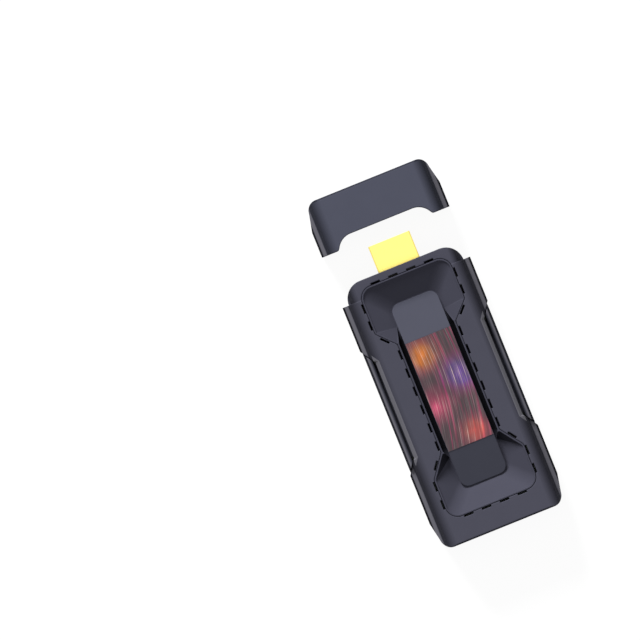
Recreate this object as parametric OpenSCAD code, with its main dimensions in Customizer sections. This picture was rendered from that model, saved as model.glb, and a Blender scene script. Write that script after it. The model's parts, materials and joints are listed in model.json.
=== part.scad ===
// Streaming media stick with its protective cap taken off.
// The stick lies on its flat back, plug towards +Y, label face up (+Z).
// The origin is the centre of the flat back. All sizes are millimetres.

/* [Case] */
// Width over the side rails
case_w = 43.1; // [38:0.1:50]
// Length from the tail to the front of the nose
case_l = 88.2; // [78:0.1:100]
// Thickness from the flat back to the flat top
case_t = 15.5; // [15.4:0.1:15.8]
// Wall thickness of the shells
wall_t = 1.5; // [1.4:0.05:1.6]
// Floor thickness of the lower shell
floor_t = 1.6; // [1.5:0.05:1.7]
// Height of the seam between the lower and the upper shell
seam_z = 8; // [7.9:0.05:8.1]
// Inset of the wall above the side rails
rail_in = 1.95; // [1.85:0.05:2]
// Height of the sloped facet on top of each rail
facet_rise = 1.3; // [1.2:0.05:1.4]
// Inward lean of the wall above the rail, measured at the top
wall_lean = 1.2; // [1.1:0.05:1.3]
// Radius of the long top edges
edge_r = 3.4; // [3.2:0.1:3.6]
// Radius of the long bottom edges
foot_r = 1.2; // [1:0.1:1.3]
// Radius of the top and bottom edges at the two ends
end_r = 0.6; // [0.5:0.05:0.7]
// Length over which the rails taper at the tail
tail_taper_l = 9.2; // [9:0.1:9.4]
// Inset of the taper where the tail corner starts
tail_taper_in = 1.2; // [1.15:0.05:1.25]
// Length of the tail corner beyond the taper
tail_corner_l = 3.2; // [3.2:0.05:3.3]
// Radius of the tail corners
tail_r = 3.5; // [3.3:0.1:3.5]

/* [Nose and cap] */
// Length of the nose that the cap slides over
nose_l = 5.9; // [5.8:0.1:6]
// Inset of the nose from the side rails
nose_in = 2.15; // [2.1:0.05:2.25]
// Corner radius of the nose seen from above
nose_r = 6; // [5.8:0.1:6.2]
// Drop of the nose top below the case top
nose_drop = 1.5; // [1.4:0.05:1.6]
// Rise of the nose underside above the case back
nose_lift = 1.6; // [1.5:0.05:1.7]
// Thickness of the nose front wall
nose_front_t = 1.4; // [1.3:0.05:1.45]
// Length of the cap
cap_l = 17.45; // [17.4:0.05:17.6]
// Thickness of the cap end wall
cap_end_t = 1.2; // [1.1:0.05:1.3]
// Distance that the cap has been pulled off
cap_travel = 16.75; // [16.6:0.05:17]
// Gap left at the shoulders when the cap is on
cap_seat_gap = 0.3; // [0.3:0.05:0.4]
// Gap between the cap and the nose all round
cap_fit = 0.3; // [0.28:0.02:0.32]
// Length over which the cap rails taper
cap_taper_l = 9.1; // [8.9:0.1:9.3]
// Inset of the taper where the cap corner starts
cap_taper_in = 1.3; // [1.25:0.05:1.35]
// Length of the cap corner beyond the taper
cap_corner_l = 3.4; // [3.4:0.1:3.6]
// Width of the land beside the arch in the cap face
arch_side = 5.65; // [5.4:0.05:5.9]
// Depth of the arch cut through both cap faces
arch_d = 3.75; // [3.6:0.05:3.8]
// Radius of the two arch corners
arch_r = 5.5; // [5.3:0.1:5.7]

/* [Recess] */
// Distance of the recess's wide ends from the side rails
lobe_in = 6.35; // [6.2:0.05:6.6]
// Step from the wide ends in to the narrow middle of the recess
waist_step = 5.3; // [5.1:0.1:5.5]
// Distance of the recess from the front of the nose
rim_front = 2.6; // [2.5:0.1:3.5]
// Distance of the recess from the tail
rim_rear = 8; // [6:0.1:9]
// Length of the upper wide end
upper_lobe_l = 14.8; // [14.4:0.1:15.2]
// Length over which the upper wide end narrows
upper_slant_l = 5.5; // [5.2:0.1:5.8]
// Length of the lower wide end
lower_lobe_l = 13.7; // [13.4:0.1:14]
// Length over which the lower wide end narrows
lower_slant_l = 7.2; // [6.9:0.1:7.5]
// Corner radius of the wide ends
lobe_r = 4.2; // [4:0.1:4.4]
// Corner radius at the ends of the narrow middle
waist_r = 1.5; // [1.3:0.1:1.7]
// Seam between the tray and the upper shell
tray_seam = 0.15; // [0.1:0.05:0.25]
// Width of the lip around the tray
lip_w = 0.5; // [0.45:0.05:0.55]
// Depth of the lip below the case top
lip_drop = 0.1; // [0.05:0.05:0.15]
// Depth of the lip's inner edge
lip_edge = 0.4; // [0.35:0.05:0.45]
// Height of the tray floor
tray_floor_z = 11.7; // [11.6:0.1:11.8]
// Thickness of the tray floor
tray_t = 1.3; // [1.2:0.1:1.4]
// Overhang of the tray flange under the upper shell
flange_w = 0.9; // [0.8:0.05:0.95]
// Thickness of the tray flange
flange_t = 0.9; // [0.8:0.05:1]

/* [Centre bar and label] */
// Distance of the bar from the sides of the narrow middle
bar_side = 2.25; // [2.1:0.05:2.4]
// Distance of the bar from the recess's upper end
bar_front = 8.4; // [8:0.1:8.8]
// Distance of the bar from the recess's lower end
bar_rear = 7.8; // [7.6:0.1:8]
// Corner radius of the bar
bar_r = 2.75; // [2.6:0.05:2.9]
// Height of the flat middle of the bar
bar_z = 15.2; // [15.1:0.1:15.3]
// Height of the two sloped ends of the bar
bar_end_z = 12.1; // [12.1:0.1:12.3]
// Wall thickness of the bar
bar_wall = 1.2; // [1.1:0.1:1.3]
// Diameter of the bar's two pegs
peg_d = 2.4; // [2.3:0.05:2.5]
// Length of the bar's upper slope
upper_ramp_l = 12.75; // [12.4:0.05:13]
// Length of the bar's lower slope
lower_ramp_l = 12.4; // [12.2:0.05:12.6]
// Thickness of the label film
label_t = 0.12; // [0.1:0.01:0.15]

/* [Side notches] */
// Middle of each side notch along the case
notch_y = 2.4; // [2.3:0.1:2.5]
// Half length of the notch at the rail
notch_outer_half = 21; // [20.9:0.1:21.1]
// Half length of the notch at its inner edge
notch_inner_half = 16.2; // [16.1:0.1:16.3]
// Depth of the side notches
notch_depth = 3.25; // [3.2:0.05:3.3]
// Width of the bevel along the notch
notch_bevel = 1.15; // [1.1:0.05:1.2]
// Depth of the bevel along the notch
notch_bevel_drop = 1.9; // [1.8:0.05:2]
// Inset of the side panels from the side rails
panel_in = 0.5; // [0.45:0.05:0.55]
// Thickness of the side panel
panel_t = 1.95; // [1.9:0.05:2]
// Height of the top edge of the side panel
panel_top_z = 11; // [10.9:0.1:11.1]
// Seam between the panel's ends and the shells
panel_seam = 0.45; // [0.35:0.05:0.5]
// Height of the ledge at the foot of the groove
ledge_z = 9.2; // [9.1:0.05:9.3]
// Thickness of the ledge
ledge_t = 1; // [0.9:0.05:1.05]

/* [Vents] */
// Length of each vent dash around the recess
dash_l = 3.1; // [3:0.05:3.2]
// Width of each vent dash
dash_w = 0.7; // [0.6:0.05:0.75]
// Spacing of the vent dashes
dash_pitch = 6.15; // [6.1:0.05:6.2]
// Number of vent slots in each column of the back
back_slot_count = 10; // [8:1:11]
// Length of a vent slot in the back
back_slot_l = 8; // [7:0.5:9]
// Width of a vent slot in the back
back_slot_w = 1.3; // [1.2:0.1:1.5]
// Spacing of the vent slots in the back
back_slot_pitch = 3.2; // [3:0.1:3.3]

/* [Video plug] */
// Width of the plug
plug_w = 13.9; // [13.85:0.05:13.95]
// Height of the plug
plug_h = 4.45; // [4.4:0.05:4.5]
// Length of the plug beyond the nose
plug_l = 8.8; // [8.6:0.1:8.9]
// Sheet thickness of the plug shell
plug_sheet = 0.35; // [0.3:0.05:0.4]
// Inset of the plug's narrow side at each end
plug_narrow_in = 1.65; // [1.55:0.05:1.75]
// Height of the plug's straight sides
plug_side_h = 2.6; // [2.5:0.1:2.7]
// Inset of the mouth in the plug at each end
mouth_side = 1.25; // [1.15:0.05:1.3]
// Height of the mouth in the plug
mouth_h = 1.9; // [1.8:0.1:2]

/* [Board] */
// Gap between the board and the case beside and before it
board_gap = 0.3; // [0.25:0.05:0.5]
// Gap between the board and the tail wall
board_tail_gap = 1.3; // [1:0.1:1.6]
// Height of the board's underside
board_z = 3.6; // [3.5:0.05:3.65]
// Thickness of the board
board_t = 1; // [0.9:0.05:1]
// Inset of the board screws from the board's sides
screw_in = 3; // [2.9:0.1:3.2]
// Inset of the front screws from the board's front edge
screw_front_in = 2.2; // [2.1:0.05:2.3]
// Inset of the rear screws from the board's rear edge
screw_rear_in = 5.8; // [5.5:0.1:6.1]
// Thread diameter of the board screws
screw_d = 1.5; // [1.4:0.05:1.6]
// Head diameter of the board screws
screw_head_d = 3; // [2.8:0.1:3.1]
// Head height of the board screws
screw_head_h = 1; // [0.8:0.1:1]
// Diameter of the screw bosses
boss_d = 4.2; // [4:0.1:4.4]

/* [Ports] */
// Place of the data port from the middle of the notch
data_shift = 1; // [0.5:0.1:1]
// Width of the data port
data_w = 13.15; // [13.1:0.05:13.2]
// Height of the data port
data_h = 5.7; // [5.6:0.05:5.7]
// Depth of the data port
data_l = 13.8; // [13.6:0.1:13.9]
// Height of the data port's underside
data_z = 2.2; // [2.15:0.05:2.25]
// Sheet thickness of the port shells
port_sheet = 0.3; // [0.25:0.05:0.35]
// Place of the power port from the middle of the notch
power_shift = 5.8; // [5.4:0.1:6]
// Width of the power port
power_w = 8.94; // [8.9:0.02:9]
// Height of the power port
power_h = 3.16; // [3.1:0.02:3.2]
// Depth of the power port
power_l = 7.3; // [7.2:0.1:7.4]
// Place of the card slot from the middle of the notch
card_shift = -7.8; // [-8.2:0.1:-7.4]
// Width of the card slot
card_w = 14.4; // [14.3:0.1:14.5]
// Depth of the card slot
card_l = 14; // [13.8:0.1:14.1]
// Height of the card slot
card_h = 1.6; // [1.5:0.05:1.7]
// Width of the card mouth in the side panel
card_mouth_w = 12.2; // [12:0.1:12.4]
// Height of the card mouth in the side panel
card_mouth_h = 1.4; // [1.3:0.1:1.5]
// Gap around the ports in the side panels
port_gap = 0.15; // [0.1:0.05:0.2]

/* [Reset button, light and receiver window] */
// Place of the reset button from the middle of the notch
reset_shift = -11.9; // [-12.2:0.1:-11.6]
// Diameter of the reset plunger
reset_d = 1.2; // [1.1:0.05:1.3]
// Diameter of the pin hole over the reset button
reset_hole_d = 1.6; // [1.5:0.1:1.8]
// Diameter of the light pipe
pipe_d = 1.8; // [1.7:0.05:1.85]
// Sideways place of the light pipe
pipe_x = -7; // [-7.5:0.1:-6.5]
// Sideways place of the receiver window
window_x = 7; // [6.5:0.1:7.5]
// Width of the receiver window
window_w = 5.4; // [5.2:0.1:5.6]
// Height of the receiver window
window_h = 2.7; // [2.6:0.1:2.7]

/* [Hidden] */
$fn = 64;

// Overrun of every cut
cut = 1;
// Facets of the rounded corners inside a hull
soft_fn = 32;
// Thickness of the flat ends of a hull
skin = 0.02;
// Small clearance between pieces of the case
slip = 0.1;

tail_y = -case_l / 2;
front_y = case_l / 2;
shoulder_y = front_y - nose_l;
half_w = case_w / 2;
tail_corner_in = 0.4;
upper_half = half_w - rail_in;
roof_z = case_t - wall_t;
nose_top_z = case_t - nose_drop;
// Underside of the nose roof, and of the rib around the recess
rib_z = nose_top_z - wall_t;
rib_w = 1.6;

// The wall and the nose above the facet
facet_top_z = seam_z + facet_rise;
nose_half = half_w - nose_in;
nose_lean_z = 6;
nose_facet_in = 0.9;
nose_lean = 1.22;
nose_upper_half = nose_half - nose_facet_in;
nose_top_half = nose_upper_half - nose_lean;
nose_edge_r = 2.2;
nose_foot_r = 1.2;
nose_inner_r = 1.2;

// The ring that locates the upper shell in the lower one
ring_t = 0.8;
ring_z = 7;
ring_top_z = 9;

// The cap as it is taken off
cap_y = shoulder_y + cap_seat_gap;
cap_top_y = cap_y + cap_l;
cap_corner_r = 3.4;
cap_corner_in = 0.5;
arch_slant = 2.4;
arch_tip_r = 1;
arch_half = half_w - arch_side;

// The recess rim
lobe_half = half_w - lobe_in;
waist_half = lobe_half - waist_step;
rim_top_y = front_y - rim_front;
rim_bottom_y = tail_y + rim_rear;
upper_lobe_y = rim_top_y - upper_lobe_l;
upper_waist_y = upper_lobe_y - upper_slant_l;
lower_lobe_y = rim_bottom_y + lower_lobe_l;
lower_waist_y = lower_lobe_y + lower_slant_l;
flange_z = rib_z - flange_t;
lip_z = case_t - lip_drop;
lip_inner_z = case_t - lip_edge;
lip_wall_z = case_t - nose_drop;
tray_gap = 0.25;
tray_wall = 1.2;
tray_waist_wall = 1.1;
trench_half = waist_half - tray_seam - lip_w;
upper_taper_l = 5;
lower_taper_l = 2.5;
waist_overlap = 5.5;
upper_foot_y = upper_waist_y + upper_taper_l;
lower_foot_y = lower_waist_y - lower_taper_l;

// The bar
bar_half = waist_half - bar_side;
bar_top_y = rim_top_y - bar_front;
bar_bottom_y = rim_bottom_y + bar_rear;
label_top_y = bar_top_y - upper_ramp_l;
label_bottom_y = bar_bottom_y + lower_ramp_l;
kink_margin = 0.15;
peg_upper_in = 6.1;
peg_lower_in = 5.9;
peg_y = [bar_top_y - peg_upper_in, bar_bottom_y + peg_lower_in];
peg_z = tray_floor_z - tray_t + slip;
peg_slip = 0.05;
peg_top_z = 12.8;
label_margin = 0.1;

// The notch and the side panel
notch_x = half_w - notch_depth;
panel_x = half_w - panel_in;
notch_slope = (notch_outer_half - notch_inner_half) / (half_w - notch_x);
panel_in_x = panel_x - panel_t;
panel_facet_in = 0.7;
panel_facet_x = panel_x - panel_facet_in;
panel_facet_z = 10.2;
panel_face_z = 8.6;
panel_bottom_z = floor_t;
notch_wall_t = 1.4;

// Vent dashes
dash_out = 0.25;
dash_row_in = 2;
dash_row_x = lobe_half - lobe_r - dash_row_in;
dash_upper_in = [6.1, 11.8];
dash_lower_in = [11.6, 5.5];
dash_lobe_y = [for (d = dash_upper_in) rim_top_y - d];
dash_lower_y = [for (d = dash_lower_in) rim_bottom_y + d];
dash_waist_in = 3.4;
dash_waist_end = 2;
dash_waist_y = upper_waist_y - dash_waist_in;
dash_waist_count = floor((dash_waist_y - dash_waist_end - lower_waist_y) / dash_pitch) + 1;
dash_row_count = 4;
dash_upper_shift = [0.3, -0.05];
dash_lower_shift = [0.1, 0.2];
dash_slant_x = (waist_half + lobe_half) / 2;
dash_upper_mid = [dash_slant_x, (upper_waist_y + upper_lobe_y) / 2] + dash_upper_shift;
dash_upper_turn = atan(upper_slant_l / waist_step);
dash_lower_mid = [dash_slant_x, (lower_waist_y + lower_lobe_y) / 2] + dash_lower_shift;
dash_lower_turn = -atan(lower_slant_l / waist_step);
back_slot_x = 6.2;
back_slot_y = notch_y - (back_slot_count - 1) * back_slot_pitch / 2;

// The board and its screws
board_half = panel_in_x - board_gap;
board_front_y = shoulder_y - wall_t - board_gap;
board_rear_y = tail_y + wall_t + board_tail_gap;
board_l = board_front_y - board_rear_y;
board_top = board_z + board_t;
board_r = 2;
board_hole_gap = 0.15;
boss_bore_in = 0.6;
screw_x = board_half - screw_in;
screw_front_y = board_front_y - screw_front_in;
screw_rear_y = board_rear_y + screw_rear_in;
screw_end_z = 1.2;
screw_slot_l = 1.8;
screw_slot_w = 0.4;
screw_slot_d = 0.5;

// The plug
plug_root_l = 11.1;
mouth_stop = 0.5;
plug_narrow_w = plug_w - plug_narrow_in * 2;
mouth_w = plug_w - mouth_side * 2;
plug_z = board_top + plug_h / 2;
plug_rear_y = front_y - plug_root_l;
plug_tip_y = front_y + plug_l;
plug_r = 0.5;
plug_block_y = front_y + mouth_stop;
liner_back = 1.2;
plug_hole_gap = 0.1;
contact_t = 0.15;
plug_contact_w = 0.45;
plug_contact_pitch = 1;
plug_contact_back = 1.9;
plug_contact_side = 0.6;
plug_upper_count = floor((mouth_w - plug_contact_side * 2) / plug_contact_pitch);
plug_lower_count = plug_upper_count - 1;

// Places on the board: shares of its half width from the middle, and of its length from the rear edge
function on_board(share) = [share.x * board_half, board_rear_y + share.y * board_l];
processor_share = [-0.213, 0.776];
memory_shares = [[0.559, 0.759], [0.559, 0.88]];
flash_share = [-0.293, 0.216];
manager_share = [0.08, 0.429];
wireless_share = [0.505, 0.223];
crystal_share = [-0.16, 0.645];
inductor_shares = [[-0.755, 0.775], [-0.755, 0.843], [-0.755, 0.907]];
capacitor_shares = [[-0.559, 0.9035], [-0.532, 0.591], [-0.19, 0.328], [0.16, 0.113]];
antenna_share = [-0.426, 0.0656];

// Chips on the board: the middle, then the length in x, y and z
processor_at = on_board(processor_share);
processor_size = [12, 12, 1.2];
memory_at = [for (share = memory_shares) on_board(share)];
memory_size = [11, 7.5, 1];
flash_at = on_board(flash_share);
flash_size = [11.5, 13, 1];
manager_at = on_board(manager_share);
manager_size = [5, 5, 0.9];
wireless_at = on_board(wireless_share);
wireless_base = [12, 12, 0.6];
wireless_can = [11.2, 11.2, 1.2];
crystal_at = on_board(crystal_share);
crystal_size = [3.2, 2.5, 0.8];
inductor_size = [4, 4, 1.9];
inductor_core_d = 3.2;
inductor_core_t = 0.25;
capacitor_size = [1.6, 0.8, 0.8];
capacitor_pitch = 2.6;
capacitor_count = 5;

// Heat sink on its pads
pad_top = 6.5;
pad_inset = 1;
sink_side = 0.5;
sink_gap = 0.4;
sink_x = [processor_at.x - processor_size.x / 2 - sink_side, notch_x - notch_wall_t - sink_gap];
sink_y = [memory_at[0].y - memory_size.y / 2, memory_at[1].y + memory_size.y / 2];
sink_base_t = 0.8;
sink_top = 9.3;
fin_t = 0.8;
fin_count = 10;
fin_inset = 0.4;

// Antenna
antenna_at = on_board(antenna_share);
antenna_l = 14;
antenna_w = 3;
antenna_z = 7.4;
antenna_sheet = 0.25;
antenna_leg_w = 1.4;
antenna_leg_gap = 2.6;

// Data port
data_y = notch_y + data_shift;
data_mouth_x = panel_x - port_gap;
data_rear_x = data_mouth_x - data_l;
data_block_l = 2.4;
data_tongue_in = 2.2;
data_tongue_side = 0.725;
data_tongue_l = data_l - data_tongue_in;
data_tongue_w = data_w - (port_sheet + data_tongue_side) * 2;
data_tongue_t = 1.9;
data_tongue_drop = 0.55;
data_contact_w = 1.1;
data_contact_in = 1.2;
data_contact_l = data_tongue_l - data_block_l - data_contact_in;
data_contact_y = [-3.5, -1.1, 1.1, 3.5];
board_notch_gap = 0.35;

// Power port
power_y = notch_y + power_shift;
power_mid_z = board_top + power_h / 2;
power_mouth_x = panel_x - port_gap;
power_rear_x = power_mouth_x - power_l;
power_tongue_side = 0.82;
power_tongue_w = power_w - (port_sheet + power_tongue_side) * 2;
power_tongue_t = 0.7;
power_block_l = 1.2;
power_tongue_in = 0.9;
power_tongue_l = power_l - power_block_l - power_tongue_in;
power_contact_side = 0.25;
power_contact_w = 0.26;
power_contact_pitch = 0.5;
power_contact_in = 1.8;
power_contact_l = power_tongue_l - power_contact_in;
power_contact_count = floor((power_tongue_w - power_contact_side * 2) / power_contact_pitch);
power_contact_t = 0.06;

// Card slot
card_y = notch_y + card_shift;
card_mouth_x = panel_in_x - slip;
card_base_t = 0.4;
card_rail_w = 1.2;
card_sheet = 0.2;
card_contact_count = 8;
card_contact_w = 0.7;
card_contact_pitch = 1.1;
card_contact_l = 4;
card_contact_in = 6;
card_mid_z = board_top + card_h / 2;

// Reset button
reset_y = notch_y + reset_shift;
reset_z = 5.8;
reset_body_l = 3.4;
reset_body_w = 4;
reset_body_h = 2.4;
reset_tip_in = 1.1;
reset_plunger_l = 2.7;
reset_bore_in = 0.7;
reset_body_back = 1.4;
reset_tip_x = panel_in_x - reset_tip_in;
reset_root_x = reset_tip_x - reset_plunger_l;
reset_bore_x = reset_root_x - reset_bore_in;
reset_body_x = reset_bore_x - reset_body_back;
reset_bore_gap = 0.3;

// Tail parts
pipe_z = 5.6;
light_size = [1.6, 1.2, 0.8];
light_in = 4.5;
light_y = tail_y + light_in;
receiver_size = [6.6, 2.6, 2.3];
receiver_in = 4.2;
receiver_y = tail_y + receiver_in;
receiver_lens_r = 0.8;
window_z = 6;
window_slip = 0.05;

// Unit vector
function unit(v) = v / norm(v);
// Half the angle at the corner b of the path a, b, c
function half_angle(a, b, c) = acos(unit(a - b) * unit(c - b)) / 2;
// Positive where the path a, b, c turns left
function turn(a, b, c) = cross(b - a, c - b);
// Neighbours of a point in a closed list
function before(pts, i) = pts[(i + len(pts) - 1) % len(pts)];
function after(pts, i) = pts[(i + 1) % len(pts)];
// Where a corner of radius r starts, ends and has its centre
function corner_start(a, b, c, r) = b + unit(a - b) * r / tan(half_angle(a, b, c));
function corner_end(a, b, c, r) = b + unit(c - b) * r / tan(half_angle(a, b, c));
function corner_mid(a, b, c, r) = b + unit(unit(a - b) + unit(c - b)) * r / sin(half_angle(a, b, c));
// Outward normal of an edge of a counter-clockwise outline
function outward(a, b) = [unit(b - a).y, -unit(b - a).x];
// One corner of an outline moved outwards by d
function moved(a, b, c, d) = b + d * (outward(a, b) + outward(b, c)) / (1 + outward(a, b) * outward(b, c));
function grown(pts, d) = [for (i = [0:len(pts) - 1]) moved(before(pts, i), pts[i], after(pts, i), d)];
// Radii of the moved outline
function grown_r(pts, radii, d) = [for (i = [0:len(pts) - 1])
  radii[i] <= 0 ? 0
  : turn(before(pts, i), pts[i], after(pts, i)) > 0 ? max(radii[i] + d, 0) : max(radii[i] - d, 0)];
// A right-hand outline repeated on the left
function both_sides(pts) = concat(pts, [for (i = [len(pts) - 1:-1:0]) [-pts[i].x, pts[i].y]]);
function both_radii(radii) = concat(radii, [for (i = [len(radii) - 1:-1:0]) radii[i]]);

// Closed outline, counter-clockwise, with a radius at each corner
module soft_outline(pts, radii) {
  corners = [for (i = [0:len(pts) - 1]) [before(pts, i), pts[i], after(pts, i), radii[i]]];
  difference() {
    union() {
      polygon([for (k = corners) each k[3] > 0
        ? [corner_start(k[0], k[1], k[2], k[3]), corner_end(k[0], k[1], k[2], k[3])]
        : [k[1]]]);
      for (k = corners)
        if (k[3] > 0 && turn(k[0], k[1], k[2]) > 0)
          translate(corner_mid(k[0], k[1], k[2], k[3])) circle(k[3]);
    }
    for (k = corners)
      if (k[3] > 0 && turn(k[0], k[1], k[2]) < 0)
        translate(corner_mid(k[0], k[1], k[2], k[3])) circle(k[3]);
  }
}

// The same outline grown by d
module grown_outline(pts, radii, d) {
  soft_outline(grown(pts, d), grown_r(pts, radii, d));
}

module slab(z0, z1) {
  translate([0, 0, z0]) linear_extrude(z1 - z0) children();
}

module along_y(y0, y1) {
  translate([0, y1, 0]) rotate([90, 0, 0]) linear_extrude(y1 - y0) children();
}

module along_x(x0, x1) {
  translate([x0, 0, 0]) rotate([90, 0, 90]) linear_extrude(x1 - x0) children();
}

// Box by its middle in x and y and its bottom
module chip(at, size, z) {
  translate([at.x - size.x / 2, at.y - size.y / 2, z]) cube(size);
}

module box(x, y, z) {
  translate([x[0], y[0], z[0]]) cube([x[1] - x[0], y[1] - y[0], z[1] - z[0]]);
}

// Section across the case, and its corner radii
case_section = both_sides([
  [half_w, 0], [half_w, seam_z], [upper_half, facet_top_z], [upper_half - wall_lean, case_t]]);
case_section_r = both_radii([foot_r, 0, 0, edge_r]);

nose_section = both_sides([
  [nose_half, nose_lift], [nose_half, nose_lean_z], [nose_upper_half, facet_top_z],
  [nose_top_half, nose_top_z]]);
nose_section_r = both_radii([nose_foot_r, 0, 0, nose_edge_r]);

// The case seen from above, tail first
case_plan = both_sides([
  [half_w - tail_taper_in - tail_corner_in, tail_y],
  [half_w - tail_taper_in, tail_y + tail_corner_l],
  [half_w, tail_y + tail_taper_l],
  [half_w, shoulder_y]]);
case_plan_r = both_radii([tail_r, 0, 0, 0]);

nose_plan = both_sides([[nose_half, shoulder_y - wall_t - cut], [nose_half, front_y]]);
nose_plan_r = both_radii([0, nose_r]);

nose_room = both_sides([
  [nose_half - nose_front_t, shoulder_y - wall_t - cut], [nose_half - nose_front_t, front_y - nose_front_t]]);
nose_room_r = both_radii([0, nose_r - nose_front_t]);

cap_plan = both_sides([
  [half_w, cap_y],
  [half_w, cap_top_y - cap_taper_l],
  [half_w - cap_taper_in, cap_top_y - cap_corner_l],
  [half_w - cap_taper_in - cap_corner_in, cap_top_y]]);
cap_plan_r = both_radii([0, 0, 0, cap_corner_r]);

rim_plan = both_sides([
  [lobe_half, rim_bottom_y], [lobe_half, lower_lobe_y], [waist_half, lower_waist_y],
  [waist_half, upper_waist_y], [lobe_half, upper_lobe_y], [lobe_half, rim_top_y]]);
rim_plan_r = both_radii([lobe_r, waist_r, waist_r, waist_r, waist_r, lobe_r]);

upper_lobe = both_sides([
  [waist_half, upper_waist_y], [lobe_half, upper_lobe_y], [lobe_half, rim_top_y]]);
upper_lobe_r = both_radii([0, waist_r, lobe_r]);

lower_lobe = both_sides([
  [lobe_half, rim_bottom_y], [lobe_half, lower_lobe_y], [waist_half, lower_waist_y]]);
lower_lobe_r = both_radii([lobe_r, waist_r, 0]);

waist_plan = both_sides([
  [waist_half, lower_waist_y - waist_overlap], [waist_half, upper_waist_y + waist_overlap]]);
waist_plan_r = both_radii([0, 0]);

bar_plan = both_sides([[bar_half, bar_bottom_y], [bar_half, bar_top_y]]);
bar_plan_r = both_radii([bar_r, bar_r]);

// Part of the case between two heights
module case_block(z0, z1) {
  intersection() {
    slab(z0, z1) soft_outline(case_plan, case_plan_r);
    along_y(tail_y - cut, shoulder_y + cut) soft_outline(case_section, case_section_r);
    along_x(-case_w, case_w) soft_outline(
      [[tail_y, 0], [shoulder_y + cut, 0], [shoulder_y + cut, case_t], [tail_y, case_t]],
      [end_r, 0, 0, end_r]);
  }
}

module nose_block(z0, z1) {
  intersection() {
    slab(z0, z1) soft_outline(nose_plan, nose_plan_r);
    along_y(shoulder_y - wall_t, front_y + cut) soft_outline(nose_section, nose_section_r);
  }
}

// Room inside the case and the nose
module case_room() {
  intersection() {
    slab(floor_t, roof_z + cut)
      grown_outline(case_plan, case_plan_r, -wall_t);
    along_y(tail_y, shoulder_y) grown_outline(case_section, case_section_r, -wall_t);
  }
  intersection() {
    slab(nose_lift, nose_top_z) soft_outline(nose_room, nose_room_r);
    along_y(shoulder_y - wall_t - cut, front_y)
      soft_outline(grown(nose_section, -wall_t), both_radii([nose_inner_r, 0, 0, nose_inner_r]));
  }
}

// Half length of the notch at a distance x from the middle of the case
function notch_half(x) = notch_inner_half + (x - notch_x) * notch_slope;

// Notch on the right, from an inner edge outwards, with its ends moved by d
module notch_outline(x, d) {
  far = half_w + cut;
  polygon([
    [x, notch_y - notch_half(x) - d], [far, notch_y - notch_half(far) - d],
    [far, notch_y + notch_half(far) + d], [x, notch_y + notch_half(x) + d]]);
}

module both_notches() {
  for (side = [0, 1]) mirror([side, 0, 0]) children();
}

module plug_hole() {
  translate([-plug_w / 2 - plug_hole_gap, plug_rear_y - cut, board_top - plug_hole_gap])
    cube([plug_w + plug_hole_gap * 2, case_l, plug_h + plug_hole_gap * 2]);
}

module back_slot() {
  slot_half = back_slot_l / 2 - back_slot_w / 2;
  slab(-cut, floor_t + cut) {
    translate([-slot_half, -back_slot_w / 2]) square([slot_half * 2, back_slot_w]);
    for (end = [-1, 1]) translate([end * slot_half, 0]) circle(d = back_slot_w);
  }
}

module screw_places() {
  for (x = [-screw_x, screw_x], y = [screw_front_y, screw_rear_y])
    translate([x, y, 0]) children();
}

// Lower shell with the flat back, the lower half of the nose and the screw bosses
module bottom_case() {
  color([0.31, 0.32, 0.37]) difference() {
    union() {
      difference() {
        union() {
          case_block(-cut, seam_z);
          nose_block(0, seam_z);
        }
        case_room();
        slab(ring_z - slip, seam_z + cut) grown_outline(case_plan, case_plan_r, -wall_t);
      }
      screw_places() translate([0, 0, floor_t]) cylinder(d = boss_d, h = board_z - floor_t);
    }
    screw_places() translate([0, 0, floor_t - boss_bore_in]) cylinder(d = screw_d, h = case_t);
    plug_hole();
    both_notches() slab(floor_t, case_t) notch_outline(notch_x, 0);
    both_notches() slab(-cut, case_t) notch_outline(panel_x, 0);
    for (side = [-1, 1], i = [0:back_slot_count - 1])
      translate([side * back_slot_x, back_slot_y + i * back_slot_pitch, 0]) back_slot();
    tail_holes();
  }
}

// Openings in the tail wall for the light pipe and the receiver window
module tail_holes() {
  translate([pipe_x, tail_y - cut, pipe_z]) rotate([-90, 0, 0])
    cylinder(d = pipe_d, h = wall_t + cut * 2);
  translate([window_x - window_w / 2, tail_y - cut, window_z - window_h / 2])
    cube([window_w, wall_t + cut * 2, window_h]);
}

// Vent dashes along the recess rim, right side, grown outwards from a line inside the rim
module rim_dashes(inner, z0, z1) {
  reach = dash_out + dash_w / 2 - inner;
  for (i = [0:dash_waist_count - 1])
    box([waist_half + inner, waist_half + inner + reach],
        [dash_waist_y - i * dash_pitch - dash_l / 2, dash_waist_y - i * dash_pitch + dash_l / 2], [z0, z1]);
  for (y = concat(dash_lobe_y, dash_lower_y))
    box([lobe_half + inner, lobe_half + inner + reach], [y - dash_l / 2, y + dash_l / 2], [z0, z1]);
  translate([dash_upper_mid.x, dash_upper_mid.y, z0]) rotate([0, 0, dash_upper_turn])
    translate([-dash_l / 2, -reach - inner, 0]) cube([dash_l, reach, z1 - z0]);
  translate([dash_lower_mid.x, dash_lower_mid.y, z0]) rotate([0, 0, dash_lower_turn])
    translate([-dash_l / 2, inner, 0]) cube([dash_l, reach, z1 - z0]);
}

module vent_dashes(inner, z0, z1) {
  reach = dash_out + dash_w / 2 - inner;
  both_notches() rim_dashes(inner, z0, z1);
  for (i = [0:dash_row_count - 1]) {
    x = dash_row_x - i * dash_row_x * 2 / (dash_row_count - 1);
    box([x - dash_l / 2, x + dash_l / 2], [rim_top_y + inner, rim_top_y + inner + reach], [z0, z1]);
    box([x - dash_l / 2, x + dash_l / 2], [rim_bottom_y - inner - reach, rim_bottom_y - inner], [z0, z1]);
  }
}

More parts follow.
